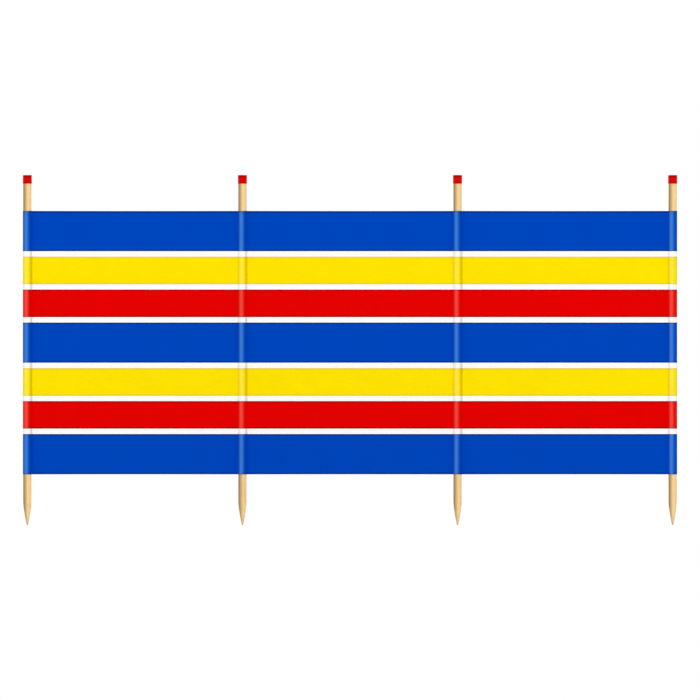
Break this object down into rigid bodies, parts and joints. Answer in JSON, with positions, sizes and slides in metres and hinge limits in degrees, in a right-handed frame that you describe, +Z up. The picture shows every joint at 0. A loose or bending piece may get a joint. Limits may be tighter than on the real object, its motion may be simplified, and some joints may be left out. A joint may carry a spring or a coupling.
{
  "type": "beach windbreak",
  "caption": "Folding beach windbreak: horizontally striped canvas stretched in bays between pointed round wooden poles with push-on plastic caps.",
  "frame": {"origin": "centre of the small flat at the point of the first pole, the left one in the picture", "axes": "+X along the canvas from the first pole to the last, +Y away from the side the picture shows, +Z up along the poles"},
  "size_m": [2.2453, 0.0312, 1.2],
  "materials": {
    "pole_wood": "bare planed softwood dowel",
    "cap_plastic": "glossy moulded plastic",
    "striped_canvas": "woven canvas in blue, yellow and red bands with narrow white lines between them"
  },
  "bodies": {
    "bay_1": {"pole_1": "pole_wood", "pole_cap_1": "cap_plastic", "sleeve_1": "striped_canvas", "bay_panel_1": "striped_canvas", "top_hem_1": "striped_canvas", "bottom_hem_1": "striped_canvas", "pole_2": "pole_wood", "pole_cap_2": "cap_plastic", "sleeve_2": "striped_canvas"},
    "bay_2": {"bay_panel_2": "striped_canvas", "top_hem_2": "striped_canvas", "bottom_hem_2": "striped_canvas", "pole_3": "pole_wood", "pole_cap_3": "cap_plastic", "sleeve_3": "striped_canvas"},
    "bay_3": {"bay_panel_3": "striped_canvas", "top_hem_3": "striped_canvas", "bottom_hem_3": "striped_canvas", "pole_4": "pole_wood", "pole_cap_4": "cap_plastic", "sleeve_4": "striped_canvas"}
  },
  "joints": [
    {"name": "fold_at_pole_2", "type": "hinge", "parent": "bay_1", "child": "bay_2", "pos_m": [0.738, 0, 0], "axis": [0, 0, 1], "range_deg": [-115, 115]},
    {"name": "fold_at_pole_3", "type": "hinge", "parent": "bay_2", "child": "bay_3", "pos_m": [1.476, 0, 0], "axis": [0, 0, 1], "range_deg": [-115, 115]}
  ]
}
